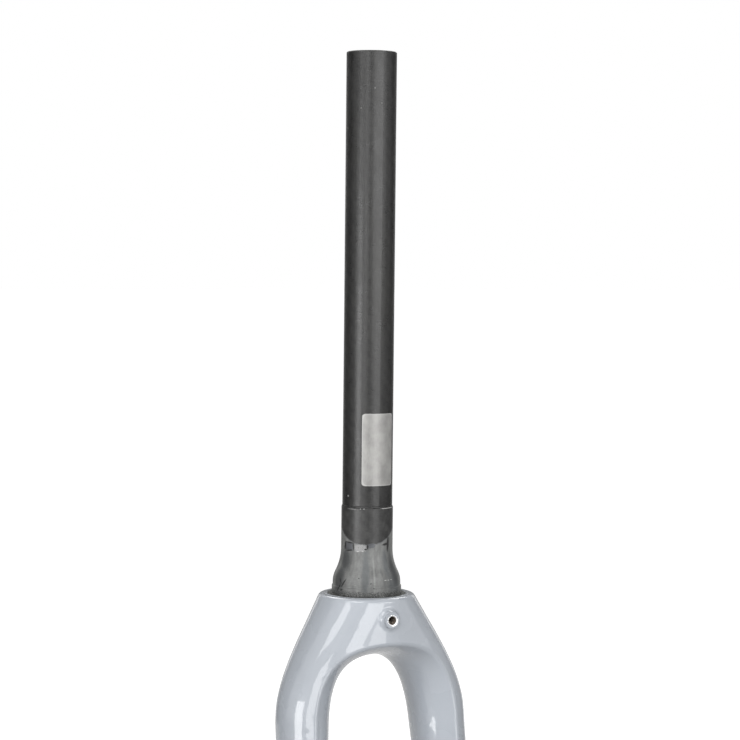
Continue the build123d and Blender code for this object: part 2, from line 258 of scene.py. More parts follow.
class RawCarbonLook(bpy.types.PropertyGroup):
    """Colours and scale of the bare carbon"""

    tows: bpy.props.IntProperty(
        name="Tows Round",
        description="Carbon tows round the steerer, a multiple of four so that the twill closes",
        default=44,
        min=4,
    )
    dark: bpy.props.FloatVectorProperty(
        name="Dark",
        description="Resin-rich dark tone of the cloth",
        subtype="COLOR",
        default=(0.0042, 0.0042, 0.0041, 1),
        **RGBA,
    )
    light: bpy.props.FloatVectorProperty(
        name="Light",
        description="Light tone of the cloth where the fibres show",
        subtype="COLOR",
        default=(0.021, 0.0207, 0.0198, 1),
        **RGBA,
    )
    sanded: bpy.props.FloatVectorProperty(
        name="Sanded",
        description="Grey of the sanded flare",
        subtype="COLOR",
        default=(0.158, 0.161, 0.157, 1),
        **RGBA,
    )
    bare_ring: bpy.props.FloatVectorProperty(
        name="Bare Ring",
        description="Grey-green of the rough shoulder under the race",
        subtype="COLOR",
        default=(0.085, 0.089, 0.081, 1),
        **RGBA,
    )


class PaintLook(bpy.types.PropertyGroup):
    """Colour and edge of the paint"""

    colour: bpy.props.FloatVectorProperty(
        name="Colour",
        description="Pale grey-blue of the paint",
        subtype="COLOR",
        default=(0.4, 0.427, 0.466, 1),
        **RGBA,
    )
    edge_radius: bpy.props.FloatProperty(
        name="Edge Radius",
        description="Mean radius at which the paint stops round the race shoulder",
        unit="LENGTH",
        default=0.0226,
    )
    film: bpy.props.FloatProperty(
        name="Film",
        description="How far the paint stands up at its edge",
        unit="LENGTH",
        default=0.00016,
    )


class FittingLook(bpy.types.PropertyGroup):
    """Metal colour and thread sizes of the inserts and axle ends"""

    alloy: bpy.props.FloatVectorProperty(
        name="Alloy",
        description="Bare metal of the inserts and the machined faces",
        subtype="COLOR",
        default=(0.56, 0.56, 0.57, 1),
        **RGBA,
    )
    insert_pitch: bpy.props.FloatProperty(
        name="Insert Pitch",
        description="Thread pitch of the small inserts",
        unit="LENGTH",
        default=0.0008,
    )
    axle_pitch: bpy.props.FloatProperty(
        name="Axle Pitch",
        description="Thread pitch in the right axle end",
        unit="LENGTH",
        default=0.0015,
    )


class LabelLook(bpy.types.PropertyGroup):
    """Colour of the blank label"""

    film: bpy.props.FloatVectorProperty(
        name="Film",
        description="Silver white of the label",
        subtype="COLOR",
        default=(0.37, 0.365, 0.353, 1),
        **RGBA,
    )


class StageLook(bpy.types.PropertyGroup):
    """Floor, light and camera"""

    floor: bpy.props.FloatVectorProperty(
        name="Floor",
        description="Grey of the floor, which shows white to the camera",
        subtype="COLOR",
        default=(0.34, 0.34, 0.34, 1),
        **RGBA,
    )
    fill: bpy.props.FloatProperty(
        name="Fill",
        description="Level of the even light from all round",
        default=0.2,
        min=0,
        max=1,
    )
    card: bpy.props.FloatVectorProperty(
        name="Card",
        description="Colour of the cards that darken the edges in the gloss",
        subtype="COLOR",
        default=(0.35, 0.35, 0.35, 1),
        **RGBA,
    )
    lens: bpy.props.FloatProperty(
        name="Lens",
        description="Focal length on a 36 mm wide frame, in millimetres",
        default=111.93,
    )


def join(tree, socket, value):
    """Sets a socket to a plain value, or links another socket to it."""
    if isinstance(value, bpy.types.NodeSocket):
        tree.links.new(value, socket)
    else:
        socket.default_value = value


def node(tree, kind, inputs, **options):
    """Adds a node, sets its options and fills its inputs by name or number."""
    made = tree.nodes.new(kind)
    for option, value in options.items():
        setattr(made, option, value)
    for key, value in inputs.items():
        join(tree, made.inputs[key], value)
    return made


def calc(tree, operation, *values):
    """A number worked out from one or more others."""
    return node(tree, "ShaderNodeMath", dict(enumerate(values)), operation=operation).outputs[0]


def chain(tree, operation, values):
    """Two or more values joined by one operation, from the first to the last."""
    result = values[0]
    for value in values[1:]:
        result = calc(tree, operation, result, value)
    return result


def times(tree, *values):
    """The product of two or more values."""
    return chain(tree, "MULTIPLY", values)


def added(tree, *values):
    """The sum of two or more values."""
    return chain(tree, "ADD", values)


def largest(tree, *values):
    """The largest of several values."""
    return chain(tree, "MAXIMUM", values)


def shares(tree, *parts):
    """The sum of several values, each times its own share."""
    return added(tree, *[times(tree, value, share) for value, share in parts])


def toned(colour, share):
    """A colour made darker or lighter by a share."""
    return tuple(share * c for c in colour[:3]) + (1,)


def vector_calc(tree, operation, first, second):
    """The outputs of a calculation on two vectors."""
    return node(tree, "ShaderNodeVectorMath", {0: first, 1: second}, operation=operation).outputs


def mix(tree, share, first, second):
    """A colour between the first and the second."""
    made = node(tree, "ShaderNodeMix", {0: share, 6: first, 7: second}, data_type="RGBA")
    return made.outputs[2]


def ramp(tree, value, start, end, low=0.0, high=1.0):
    """A smooth step: low where the value is at the start, high where it is at the end."""
    inputs = {"Value": value, "From Min": start, "From Max": end, "To Min": low, "To Max": high}
    made = node(tree, "ShaderNodeMapRange", inputs, interpolation_type="SMOOTHSTEP")
    return made.outputs["Result"]


def grain(tree, place, scale, detail=2.0, roughness=0.5):
    """Noise from 0 to 1 with that many grains to the unit of its place."""
    inputs = {"Vector": place, "Scale": scale, "Detail": detail, "Roughness": roughness}
    return node(tree, "ShaderNodeTexNoise", inputs).outputs["Fac"]


def stretched(tree, place, x, y, z):
    """A place with its three axes scaled apart."""
    return vector_calc(tree, "MULTIPLY", place, (x, y, z))[0]


def new_group(name, inputs, outputs):
    """An empty shader group and its ends; each socket is a number, only a place is a vector."""
    tree = bpy.data.node_groups.new(name, "ShaderNodeTree")
    for way, labels in (("INPUT", inputs), ("OUTPUT", outputs)):
        for label in labels:
            kind = "NodeSocketVector" if label == "Place" else "NodeSocketFloat"
            tree.interface.new_socket(label, in_out=way, socket_type=kind)
    given = tree.nodes.new("NodeGroupInput").outputs
    return tree, given, tree.nodes.new("NodeGroupOutput").inputs


def use(tree, maker, inputs=None):
    """Places a shared group in a tree, made on its first use; returns its outputs."""
    name = maker.__name__.replace("_", " ")
    group = bpy.data.node_groups.get(name) or maker(name)
    return node(tree, "ShaderNodeGroup", inputs or {}, node_tree=group).outputs


def round_steerer(name):
    """Millimetres round from the front, up and out from the steerer axis."""
    tree, _, out = new_group(name, (), ("Arc", "Height", "Radius", "Place"))
    spot = tree.nodes.new("ShaderNodeTexCoord").outputs["Object"]
    inputs = {0: spot, "Scale": 1000.0}
    place = node(tree, "ShaderNodeVectorMath", inputs, operation="SCALE").outputs[0]
    x, y, z = node(tree, "ShaderNodeSeparateXYZ", {0: place}).outputs
    join(tree, out["Arc"], times(tree, calc(tree, "ARCTAN2", y, x), STEERER_RADIUS_MM))
    join(tree, out["Height"], z)
    join(tree, out["Radius"], calc(tree, "SQRT", shares(tree, (x, x), (y, y))))
    join(tree, out["Place"], place)
    return tree


def placed_mark(name):
    """A soft or ragged patch at one place on the wrapped surface, oval to square."""
    surface = ("Arc", "Height", "Waver")
    mark = ("Across", "Up", "Half Width", "Half Height", "Turn", "Corner", "Soft")
    tree, given, out = new_group(name, surface + mark, ("Mask",))
    across = calc(tree, "SUBTRACT", given["Arc"], given["Across"])
    up = calc(tree, "SUBTRACT", given["Height"], given["Up"])
    cosine, sine = calc(tree, "COSINE", given["Turn"]), calc(tree, "SINE", given["Turn"])
    along = shares(tree, (across, cosine), (up, sine))
    beside = calc(tree, "SUBTRACT", times(tree, up, cosine), times(tree, across, sine))
    reach = []
    for offset, half in ((along, given["Half Width"]), (beside, given["Half Height"])):
        share = calc(tree, "ABSOLUTE", calc(tree, "DIVIDE", offset, half))
        reach.append(calc(tree, "POWER", share, given["Corner"]))
    root = calc(tree, "DIVIDE", 1.0, given["Corner"])
    edge = added(tree, calc(tree, "POWER", added(tree, *reach), root), given["Waver"])
    inner = calc(tree, "SUBTRACT", 1.0, given["Soft"])
    outer = added(tree, 1.0, given["Soft"])
    join(tree, out["Mask"], ramp(tree, edge, outer, inner))
    return tree


def carbon_cloth(name):
    """Tone and relief of a two-by-two twill wrapped round the tube."""
    tree, given, out = new_group(name, ("Arc", "Height", "Place", "Tow"), ("Tone", "Relief"))
    across = calc(tree, "DIVIDE", given["Arc"], given["Tow"])
    up = calc(tree, "DIVIDE", given["Height"], given["Tow"])
    column, row = calc(tree, "FLOOR", across), calc(tree, "FLOOR", up)
    step = calc(tree, "FLOORED_MODULO", added(tree, column, row), 4.0)
    upright = calc(tree, "LESS_THAN", step, 1.5)
    level = calc(tree, "SUBTRACT", 1.0, upright)
    arch_across = calc(tree, "SINE", times(tree, calc(tree, "FRACT", across), math.pi))
    arch_up = calc(tree, "SINE", times(tree, calc(tree, "FRACT", up), math.pi))
    relief = shares(tree, (upright, arch_across), (level, arch_up))
    upright_fibres = grain(tree, stretched(tree, given["Place"], 9.0, 9.0, 0.5), 1.0, 1.0)
    level_fibres = grain(tree, stretched(tree, given["Place"], 0.5, 0.5, 9.0), 1.0, 1.0)
    dimmed = times(tree, level_fibres, 0.72)
    fibres = shares(tree, (upright, upright_fibres), (level, dimmed))
    tone = times(tree, fibres, ramp(tree, relief, 0.0, 0.6, 0.75, 1.0))
    join(tree, out["Tone"], tone)
    join(tree, out["Relief"], relief)
    return tree


def dust_specks(name):
    """Small round dots scattered at random, a few to the square."""
    tree, given, out = new_group(name, ("Place", "Spacing", "Size", "Share"), ("Mask",))
    density = calc(tree, "DIVIDE", 1.0, given["Spacing"])
    spots = node(tree, "ShaderNodeTexVoronoi", {"Vector": given["Place"], "Scale": density})
    chance = node(tree, "ShaderNodeSeparateColor", {0: spots.outputs["Color"]}).outputs[0]
    chosen = calc(tree, "LESS_THAN", chance, given["Share"])
    reach = calc(tree, "DIVIDE", given["Size"], given["Spacing"])
    dot = ramp(tree, spots.outputs["Distance"], reach, times(tree, reach, 0.55))
    join(tree, out["Mask"], times(tree, dot, chosen))
    return tree


def paint_film(name):
    """Slow shade and fine orange peel of a sprayed coat."""
    tree, given, out = new_group(name, ("Place",), ("Shade", "Gloss", "Relief"))
    slow = grain(tree, given["Place"], 0.018, 2.0)
    mist = grain(tree, given["Place"], 9.0, 1.0)
    peel = grain(tree, given["Place"], 0.38, 2.0, 0.35)
    patches = grain(tree, given["Place"], 0.06, 3.0)
    join(tree, out["Shade"], shares(tree, (slow, 0.8), (mist, 0.2)))
    join(tree, out["Gloss"], ramp(tree, patches, 0.35, 0.7))
    join(tree, out["Relief"], peel)
    return tree


def turned_rings(name):
    """Fine rings that a lathe leaves round an axis."""
    tree, given, out = new_group(name, ("Radius", "Place", "Pitch"), ("Tone", "Relief"))
    waver = times(tree, grain(tree, given["Place"], 0.6, 2.0), 0.5)
    turns = added(tree, calc(tree, "DIVIDE", given["Radius"], given["Pitch"]), waver)
    wave = calc(tree, "SINE", times(tree, turns, 2 * math.pi))
    relief = calc(tree, "MULTIPLY_ADD", wave, 0.5, 0.5)
    join(tree, out["Relief"], relief)
    join(tree, out["Tone"], times(tree, relief, grain(tree, given["Place"], 0.25, 3.0)))
    return tree


def new_material(name):
    """A fresh material; returns it, its node tree and its surface shader."""
    material = bpy.data.materials.new(name)
    material.use_nodes = True
    return material, material.node_tree, material.node_tree.nodes["Principled BSDF"]


def set_surface(tree, shader, colour, rough, relief, height):
    """Fills a shader; the relief, from 0 to 1, stands for a height in metres."""
    bump = node(tree, "ShaderNodeBump", {"Height": relief, "Distance": height})
    join(tree, shader.inputs["Base Color"], colour)
    join(tree, shader.inputs["Roughness"], rough)
    join(tree, shader.inputs["Normal"], bump.outputs["Normal"])


def set_painted_surface(tree, shader, colour, rough, relief, bare=0.0):
    """Fills a shader and puts clear lacquer over all but the bare parts."""
    set_surface(tree, shader, colour, rough, relief, PAINT_BUMP)
    join(tree, shader.inputs["Coat Weight"], calc(tree, "SUBTRACT", 1.0, bare))
    shader.inputs["Coat Roughness"].default_value = 0.035
    shader.inputs["Coat IOR"].default_value = 1.5
    shader.inputs["Specular IOR Level"].default_value = 0.25


def dress(piece, material):
    """Gives a piece one material."""
    piece.data.materials.clear()
    piece.data.materials.append(material)


def marks_mask(tree, where, marks, waver=None):
    """The strongest of a row of placed marks, each written as the neck's are."""
    masks = []
    for across, up, half_width, half_height, turn, corner, soft in marks:
        inputs = {
            "Arc": where["Arc"],
            "Height": where["Height"],
            "Across": across,
            "Up": up,
            "Half Width": half_width,
            "Half Height": half_height,
            "Turn": math.radians(turn),
            "Corner": corner,
            "Soft": soft,
        }
        if waver is not None:
            inputs["Waver"] = waver
        masks.append(use(tree, placed_mark, inputs)["Mask"])
    return largest(tree, *masks)


def specks_mask(tree, place, spacing, size, share):
    """Scattered specks: their spacing and size in millimetres, and the share that shows."""
    inputs = {"Place": place, "Spacing": spacing, "Size": size, "Share": share}
    return use(tree, dust_specks, inputs)["Mask"]


def cloth_round_tube(tree, where, look):
    """The cloth, with its tows spread evenly round the tube."""
    inputs = {key: where[key] for key in ("Arc", "Height", "Place")}
    inputs["Tow"] = 2 * math.pi * STEERER_RADIUS_MM / look.tows
    return use(tree, carbon_cloth, inputs)


def steerer_material(look):
    """Satin raw carbon with a faint twill, mottling, resin specks and plies on its cut end."""
    material, tree, shader = new_material("raw carbon tube")
    where = use(tree, round_steerer)
    place = where["Place"]
    cloth = cloth_round_tube(tree, where, look)
    mottle = grain(tree, stretched(tree, place, 1.0, 1.0, 0.55), 0.16, 4.0, 0.6)
    cloud = grain(tree, stretched(tree, place, 1.0, 1.0, 0.3), 0.045, 2.0)
    peel = grain(tree, stretched(tree, place, 0.55, 0.55, 1.5), 0.9, 3.0, 0.65)
    tone = shares(tree, (cloth["Tone"], 0.45), (mottle, 0.35), (peel, 0.35))
    colour = mix(tree, ramp(tree, tone, 0.35, 0.75), look.dark, look.light)
    colour = mix(tree, ramp(tree, cloud, 0.48, 0.72, 0.0, 0.45), colour, OLIVE_RESIN)
    specks = marks_mask(tree, where, [(a, h, r, r, 0, 2.0, 0.35) for a, h, r in TUBE_SPECKS])
    dust = times(tree, specks_mask(tree, place, 9.0, 0.22, 0.35), 0.5)
    colour = mix(tree, times(tree, largest(tree, specks, dust), 0.7), colour, PALE_DUST)
    cut_end = ramp(tree, where["Height"], STEERER_TOP_MM - 0.62, STEERER_TOP_MM - 0.5)
    plies = use(tree, turned_rings, {"Radius": where["Radius"], "Place": place, "Pitch": 0.42})
    end_colour = mix(tree, plies["Tone"], PLY_DARK, PLY_LIGHT)
    colour = mix(tree, cut_end, colour, end_colour)
    rough = ramp(tree, shares(tree, (peel, 0.5), (mottle, 0.5)), 0.35, 0.65, 0.27, 0.40)
    rough = largest(tree, rough, times(tree, cut_end, 0.65))
    relief = added(tree, times(tree, cloth["Relief"], 0.15), peel)
    set_surface(tree, shader, colour, rough, relief, TUBE_BUMP)
    return material


def neck_material(look):
    """Dark collar above a sanded, smeared flare, with filler, scratches and dots on it."""
    material, tree, shader = new_material("raw carbon neck")
    where = use(tree, round_steerer)
    place, arc, height = where["Place"], where["Arc"], where["Height"]
    cloth = cloth_round_tube(tree, where, look)
    mottle = grain(tree, place, 0.22, 4.0, 0.6)
    ragged = grain(tree, place, 1.3, 4.0, 0.6)
    waver = calc(tree, "MULTIPLY_ADD", ragged, 1.1, -0.55)
    speckle = grain(tree, place, 2.4, 3.0, 0.65)
    tone = shares(tree, (cloth["Tone"], 0.4), (mottle, 0.6))
    collar = mix(tree, ramp(tree, tone, 0.3, 0.7), COLLAR_DARK, COLLAR_LIGHT)
    collar = mix(tree, ramp(tree, speckle, 0.62, 0.78, 0.0, 0.5), collar, COLLAR_SPECKLE)

    # The collar's hem dips a little right of the front, and below it the flare is sanded
    off_middle = calc(tree, "SUBTRACT", arc, HEM_MIDDLE)
    rise = times(tree, off_middle, off_middle, HEM_CURVE)
    hem = added(tree, calc(tree, "MINIMUM", rise, HEM_RISE), HEM_HEIGHT)
    above = calc(tree, "SUBTRACT", height, added(tree, hem, times(tree, waver, 1.4)))
    sanded = ramp(tree, above, 0.5, -0.5)
    rim = times(tree, ramp(tree, above, 1.0, 0.2), ramp(tree, above, -0.7, 0.1))

    bands = grain(tree, stretched(tree, place, 0.22, 0.22, 0.035), 1.0, 2.0)
    scratches = grain(tree, stretched(tree, place, 0.25, 0.25, 7.0), 1.0, 3.0)
    smear = grain(tree, stretched(tree, place, 0.5, 0.5, 0.25), 1.0, 3.0, 0.6)
    tone = shares(tree, (bands, 0.6), (smear, 0.4))
    dim, pale = toned(look.sanded, 0.62), toned(look.sanded, 1.3)
    flare = mix(tree, ramp(tree, tone, 0.3, 0.7), dim, pale)
    slight = times(tree, waver, 0.5)
    # Painted shade, with ply edges, in dark bluish bands down the flare
    ply_edges_and_shade = marks_mask(tree, where, PLY_EDGE_AND_SHADE_MARKS, slight)
    flare = mix(tree, times(tree, ply_edges_and_shade, 0.6), flare, PLY_EDGE_AND_SHADE_TONE)
    seam = marks_mask(tree, where, SEAM_MARKS, slight)
    flare = mix(tree, times(tree, seam, 0.45), flare, PALE_SEAM)
    low = calc(tree, "MULTIPLY_ADD", ramp(tree, height, 16.0, 4.0), 0.45, 0.15)
    flare = mix(tree, times(tree, ramp(tree, scratches, 0.5, 0.66), low), flare, RUBBED_DARK)
    foot = ramp(tree, added(tree, height, times(tree, waver, 4.5)), 3.6, 1.8)
    crust = mix(tree, ramp(tree, speckle, 0.48, 0.66), CRUST_DARK, CRUST_LIGHT)
    flare = mix(tree, times(tree, foot, 0.92), flare, crust)
    colour = mix(tree, sanded, collar, flare)
    colour = mix(tree, times(tree, rim, 0.5), colour, PALE_RIM)

    bluish = marks_mask(tree, where, BLUISH_MARKS, times(tree, waver, 0.4))
    colour = mix(tree, bluish, colour, BLUISH_RESIN)
    silver = marks_mask(tree, where, SILVER_MARKS, waver)
    pitted = mix(tree, ramp(tree, speckle, 0.54, 0.7), SILVER_FILLER, SILVER_PIT)
    colour = mix(tree, silver, colour, pitted)
    # Painted shade, with real streaks, darkens the flare's sides
    streaks_and_shade = marks_mask(tree, where, SIDE_STREAK_AND_SHADE_MARKS, times(tree, waver, 0.6))
    colour = mix(tree, times(tree, streaks_and_shade, 0.85), colour, STREAK_AND_SHADE_TONE)
    black = marks_mask(tree, where, BLACK_MARKS, times(tree, waver, 0.8))
    colour = mix(tree, black, colour, BLACK_MARK)
    white = marks_mask(tree, where, WHITE_MARKS, waver)
    colour = mix(tree, times(tree, white, 0.8), colour, WHITE_MARK)
    grit = times(tree, specks_mask(tree, place, 2.6, 0.16, 0.3), sanded, 0.5)
    colour = mix(tree, grit, colour, DARK_GRIT)

    satin = ramp(tree, mottle, 0.3, 0.7, 0.34, 0.43)
    rough = added(tree, satin, times(tree, sanded, 0.1))
    rough = calc(tree, "SUBTRACT", rough, times(tree, bluish, 0.12))
    relief = shares(tree, (scratches, 0.4), (ragged, 0.35), (silver, 0.5))
    set_surface(tree, shader, colour, rough, relief, NECK_BUMP)
    return material


def paint_nodes(tree, look, place):
    """Colour, roughness and relief that every painted surface shares."""
    film = use(tree, paint_film, {"Place": place})
    deep, pale = toned(look.colour, 0.95), toned(look.colour, 1.04)
    colour = mix(tree, ramp(tree, film["Shade"], 0.3, 0.7), deep, pale)
    dust = times(tree, specks_mask(tree, place, 14.0, 0.16, 0.3), 0.4)
    colour = mix(tree, dust, colour, PAINT_DUST)
    rough = ramp(tree, film["Gloss"], 0.0, 1.0, 0.24, 0.34)
    return colour, rough, film["Relief"]


def moulding_material(paint, carbon):
    """Gloss paint that stops in a ragged ring round the bare shoulder under the race."""
    material, tree, shader = new_material("painted moulding")
    where = use(tree, round_steerer)
    place, radius = where["Place"], where["Radius"]
    colour, rough, relief = paint_nodes(tree, paint, place)
    ragged = grain(tree, place, 0.9, 4.0, 0.6)
    edge = calc(tree, "MULTIPLY_ADD", ragged, 1.6, paint.edge_radius * 1000 - 0.8)
    out = calc(tree, "SUBTRACT", radius, edge)
    on_top = ramp(tree, where["Height"], -0.4, -0.2)
    bare = times(tree, ramp(tree, out, 0.12, -0.12), on_top)
    # Painted shade: the bare ring darkens next to the paint's raised edge, as in a shallow recess
    recess_shade = times(tree, ramp(tree, out, -1.1, -0.1), bare, 0.5)
    grit = grain(tree, place, 2.2, 4.0, 0.7)
    dim, pale = toned(carbon.bare_ring, 0.45), toned(carbon.bare_ring, 1.5)
    ring = mix(tree, ramp(tree, grit, 0.35, 0.7), dim, pale)
    ring = mix(tree, recess_shade, ring, PAINTED_RECESS_SHADE)
    colour = mix(tree, bare, colour, ring)
    rough = largest(tree, rough, times(tree, bare, 0.8))
    relief = added(tree, relief, times(tree, grit, bare, 6.0))
    set_painted_surface(tree, shader, colour, rough, relief, bare)
    return material


def paint_edge_material(paint):
    """The paint again, for the lip that stands up round the shoulder."""
    material, tree, shader = new_material("paint edge")
    place = use(tree, round_steerer)["Place"]
    set_painted_surface(tree, shader, *paint_nodes(tree, paint, place))
    return material


def offset_from(tree, place, centre):
    """A place in millimetres as seen from a centre in metres."""
    return vector_calc(tree, "SUBTRACT", place, tuple(c * 1000 for c in centre))[0]


def from_axis(tree, place, centre, axis):
    """Distance in millimetres from a line through a centre along an axis."""
    turned = vector_calc(tree, "CROSS_PRODUCT", offset_from(tree, place, centre), tuple(axis))[0]
    return node(tree, "ShaderNodeVectorMath", {0: turned}, operation="LENGTH").outputs["Value"]


def along_axis(tree, place, centre, axis):
    """Distance in millimetres from a centre, measured along an axis."""
    offset = offset_from(tree, place, centre)
    return vector_calc(tree, "DOT_PRODUCT", offset, tuple(axis))["Value"]


def metal_nodes(tree, fitting, place, radius):
    """Colour, roughness and relief of bare turned alloy."""
    rings = use(tree, turned_rings, {"Radius": radius, "Place": place, "Pitch": 0.16})
    dim = toned(fitting.alloy, 0.6)
    colour = mix(tree, ramp(tree, rings["Tone"], 0.05, 0.5), fitting.alloy, dim)
    rough = ramp(tree, grain(tree, place, 1.2, 3.0), 0.3, 0.7, 0.28, 0.45)
    return colour, rough, rings["Relief"]


def join_paint_and_metal(tree, shader, bare, paint, metal):
    """Paint, and metal where it is bare; each is a colour, a roughness and a relief."""
    colour = mix(tree, bare, paint[0], metal[0])
    rough = largest(tree, paint[1], times(tree, bare, metal[1]))
    relief = added(tree, paint[2], times(tree, metal[2], bare))
    set_painted_surface(tree, shader, colour, rough, relief, bare)
    join(tree, shader.inputs["Metallic"], bare)


def crown_insert_material(paint, fitting):
    """Painted flange, chipped to bright metal round a threaded hole that painted shade and brown
    grime darken.
    """
    material, tree, shader = new_material("crown insert")
    place = use(tree, round_steerer)["Place"]
    radius = from_axis(tree, place, INSERT_MOUTH, (1, 0, 0))
    depth = along_axis(tree, place, INSERT_MOUTH, (-1, 0, 0))
    metal, metal_rough, rings = metal_nodes(tree, fitting, place, radius)
    worn_side = along_axis(tree, place, INSERT_MOUTH, INSERT_WORN_SIDE)
    reach = added(tree, ramp(tree, worn_side, 0.0, 3.0, 0.0, 0.9), 1.75)
    ragged = calc(tree, "MULTIPLY_ADD", grain(tree, place, 1.6, 3.0, 0.6), 2.2, reach)
    chipped = ramp(tree, calc(tree, "SUBTRACT", radius, ragged), 0.08, -0.08)
    inside = ramp(tree, depth, 0.15, 0.5)
    bright = mix(tree, inside, BRIGHT_CHIP, metal)
    # Painted shade, with brown grime, deepening down the hole
    shade_and_grime = mix(tree, ramp(tree, depth, 0.4, 2.6, 0.0, 0.95), bright, HOLE_SHADE_AND_GRIME)
    dents = times(tree, grain(tree, place, 2.6, 3.0, 0.6), 5.0)
    bare = largest(tree, chipped, inside)
    bare_metal = shade_and_grime, metal_rough, added(tree, rings, dents)
    join_paint_and_metal(tree, shader, bare, paint_nodes(tree, paint, place), bare_metal)
    return material


def brake_insert_material(name, fitting, centre):
    """Bare turned insert, with painted shade down its bore."""
    material, tree, shader = new_material(name)
    place = use(tree, round_steerer)["Place"]
    radius = from_axis(tree, place, centre, FORWARD)
    metal, rough, relief = metal_nodes(tree, fitting, place, radius)
    # Painted shade darkens the wall of the bore
    bore = ramp(tree, radius, *BRAKE_BORE_RADIUS)
    colour = mix(tree, bore, metal, BORE_SHADE)
    set_surface(tree, shader, colour, rough, relief, METAL_BUMP)
    shader.inputs["Metallic"].default_value = 1.0
    return material


def axle_end_material(paint, fitting):
    """Painted alloy end with bare turned faces where the hub and the axle sit."""
    material, tree, shader = new_material("axle end")
    place = use(tree, round_steerer)["Place"]
    radius = from_axis(tree, place, AXLE, (0, 1, 0))
    aside = calc(tree, "ABSOLUTE", along_axis(tree, place, (0, 0, 0), (0, 1, 0)))
    hub_side = ramp(tree, aside, *HUB_FACE_ASIDE)
    hub_face = times(tree, hub_side, ramp(tree, radius, *HUB_FACE_RADIUS))
    outer_side = ramp(tree, aside, *OUTER_FACE_ASIDE)
    outer_face = times(tree, outer_side, ramp(tree, radius, *OUTER_FACE_RADIUS))
    bare = largest(tree, hub_face, outer_face, ramp(tree, radius, *AXLE_BORE_RADIUS))
    metal = metal_nodes(tree, fitting, place, radius)
    join_paint_and_metal(tree, shader, bare, paint_nodes(tree, paint, place), metal)
    return material


def thread_material(fitting):
    """Dark greasy metal of the threads."""
    material, tree, shader = new_material("thread metal")
    place = use(tree, round_steerer)["Place"]
    smear = grain(tree, place, 0.9, 3.0)
    dim = tuple(share * c for share, c in zip(GREASE_DARK, fitting.alloy)) + (1,)
    pale = tuple(share * c for share, c in zip(GREASE_LIGHT, fitting.alloy)) + (1,)
    join(tree, shader.inputs["Base Color"], mix(tree, ramp(tree, smear, 0.35, 0.7), dim, pale))
    join(tree, shader.inputs["Roughness"], ramp(tree, smear, 0.3, 0.7, 0.3, 0.5))
    shader.inputs["Metallic"].default_value = 1.0
    return material


def resin_material(look):
    """Brownish black resin squeezed out where the tube is bonded in."""
    material, tree, shader = new_material("bond resin")
    place = use(tree, round_steerer)["Place"]
    smear = grain(tree, place, 0.7, 4.0, 0.6)
    colour = mix(tree, ramp(tree, smear, 0.35, 0.7), look.dark, look.light)
    rough = ramp(tree, smear, 0.3, 0.7, 0.3, 0.55)
    set_surface(tree, shader, colour, rough, grain(tree, place, 2.5, 3.0), RESIN_BUMP)
    return material


def label_material(look):
    """Blank silver film with a soft cloudy sheen and a paler cut edge."""
    material, tree, shader = new_material("label film")
    where = use(tree, round_steerer)
    place = where["Place"]
    cloud = grain(tree, place, 0.14, 3.0, 0.55)
    brushed = grain(tree, stretched(tree, place, 6.0, 6.0, 0.4), 1.0, 2.0)
    tone = shares(tree, (cloud, 0.7), (brushed, 0.3))
    colour = mix(tree, ramp(tree, tone, 0.3, 0.7), toned(look.film, 0.72), look.film)
    middle = (LABEL_HIGH.z + LABEL_LOW.z) * 500
    half_height = (LABEL_HIGH.z - LABEL_LOW.z) * 500 - LABEL_BORDER
    half_turn = math.asin(LABEL_HIGH.y / (STEERER_HIGH.x + LABEL_STANDS_OFF))
    half_width = half_turn * STEERER_RADIUS_MM - LABEL_BORDER
    field = marks_mask(tree, where, [(0, middle, half_width, half_height, 0, 10.0, 0.02)])
    colour = mix(tree, field, LABEL_EDGE, colour)
    rough = ramp(tree, cloud, 0.3, 0.7, 0.32, 0.46)
    set_surface(tree, shader, colour, rough, cloud, LABEL_BUMP)
    shader.inputs["Metallic"].default_value = 0.25
    return material


def floor_material(look):
    """Pale floor that shows white to the camera and keeps the shadow."""
    material, tree, shader = new_material("pale floor")
    rays = tree.nodes.new("ShaderNodeLightPath").outputs
    in_gloss = times(tree, rays["Is Glossy Ray"], FLOOR_IN_GLOSS)
    seen = largest(tree, rays["Is Camera Ray"], in_gloss, rays["Is Transmission Ray"])
    place = tree.nodes.new("ShaderNodeTexCoord").outputs["Object"]
    colour = mix(tree, grain(tree, place, 3.0), look.floor, toned(look.floor, 0.98))
    join(tree, shader.inputs["Base Color"], colour)
    shader.inputs["Roughness"].default_value = 0.9
    shader.inputs["Specular IOR Level"].default_value = 0.0
    shader.inputs["Emission Color"].default_value = WHITE
    away = node(tree, "ShaderNodeVectorMath", {0: place}, operation="LENGTH").outputs["Value"]
    level = ramp(tree, away, FLOOR_NEAR, FLOOR_FAR, FLOOR_NEAR_LEVEL, FLOOR_FAR_LEVEL)
    join(tree, shader.inputs["Emission Strength"], times(tree, seen, level))
    return material


def card_material(name, look):
    """Dull dark card."""
    material, _, shader = new_material(name)
    shader.inputs["Base Color"].default_value = look.card
    shader.inputs["Roughness"].default_value = 0.9
    return material


def linked_object(name, bm):
    """Turns a bmesh into an object of the scene."""
    mesh = bpy.data.meshes.new(name)
    bm.to_mesh(mesh)
    bm.free()
    made = bpy.data.objects.new(name, mesh)
    bpy.context.scene.collection.objects.link(made)
    return made


def new_piece(name, bm, material):
    """Turns a bmesh into a piece of the fork that moves with it."""
    bmesh.ops.recalc_face_normals(bm, faces=bm.faces[:])
    for face in bm.faces:
        face.smooth = True
    piece = linked_object(name, bm)
    dress(piece, material)
    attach(piece, "root")


def ripple(place, waves):
    """A height at a place from a few waves of noise."""
    return sum(height * noise.noise(place * rate) for height, rate in waves)


def closed_section(bm, corners):
    """A small flat face through a few corners, ready to be spun."""
    return bm.faces.new([bm.verts.new(corner) for corner in corners])


